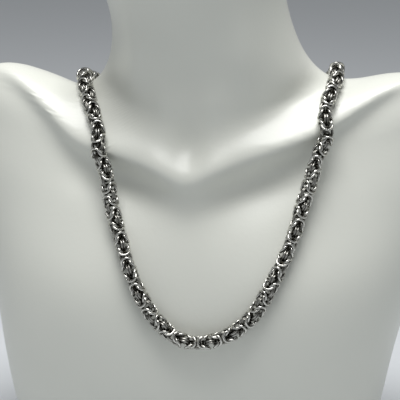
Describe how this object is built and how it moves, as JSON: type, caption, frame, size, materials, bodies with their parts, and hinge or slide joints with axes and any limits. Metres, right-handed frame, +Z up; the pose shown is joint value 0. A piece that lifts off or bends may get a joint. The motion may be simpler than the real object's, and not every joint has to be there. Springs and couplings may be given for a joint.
{
  "type": "byzantine chain necklace on a neck bust",
  "caption": "Silver byzantine-weave necklace with a barrel clasp, lying round the neck of a plain white display bust.",
  "frame": {"origin": "middle of the flat face that the bust stands on", "axes": "+Z up, front of the bust towards -Y, +X to the right of somebody who looks at the front"},
  "size_m": [0.2572, 0.1196, 0.25],
  "materials": {
    "white_resin": null,
    "silver": null
  },
  "bodies": {
    "root": {"neck_bust": "white_resin", "chain_run_01": "silver", "chain_run_02": "silver", "chain_run_03": "silver", "chain_run_04": "silver", "chain_run_05": "silver", "chain_run_06": "silver", "chain_run_07": "silver", "chain_run_08": "silver", "chain_run_09": "silver", "chain_run_10": "silver", "chain_run_11": "silver", "chain_run_12": "silver", "chain_run_13": "silver", "chain_run_14": "silver", "chain_run_15": "silver", "chain_run_16": "silver", "barrel_clasp": "silver"}
  },
  "joints": []
}
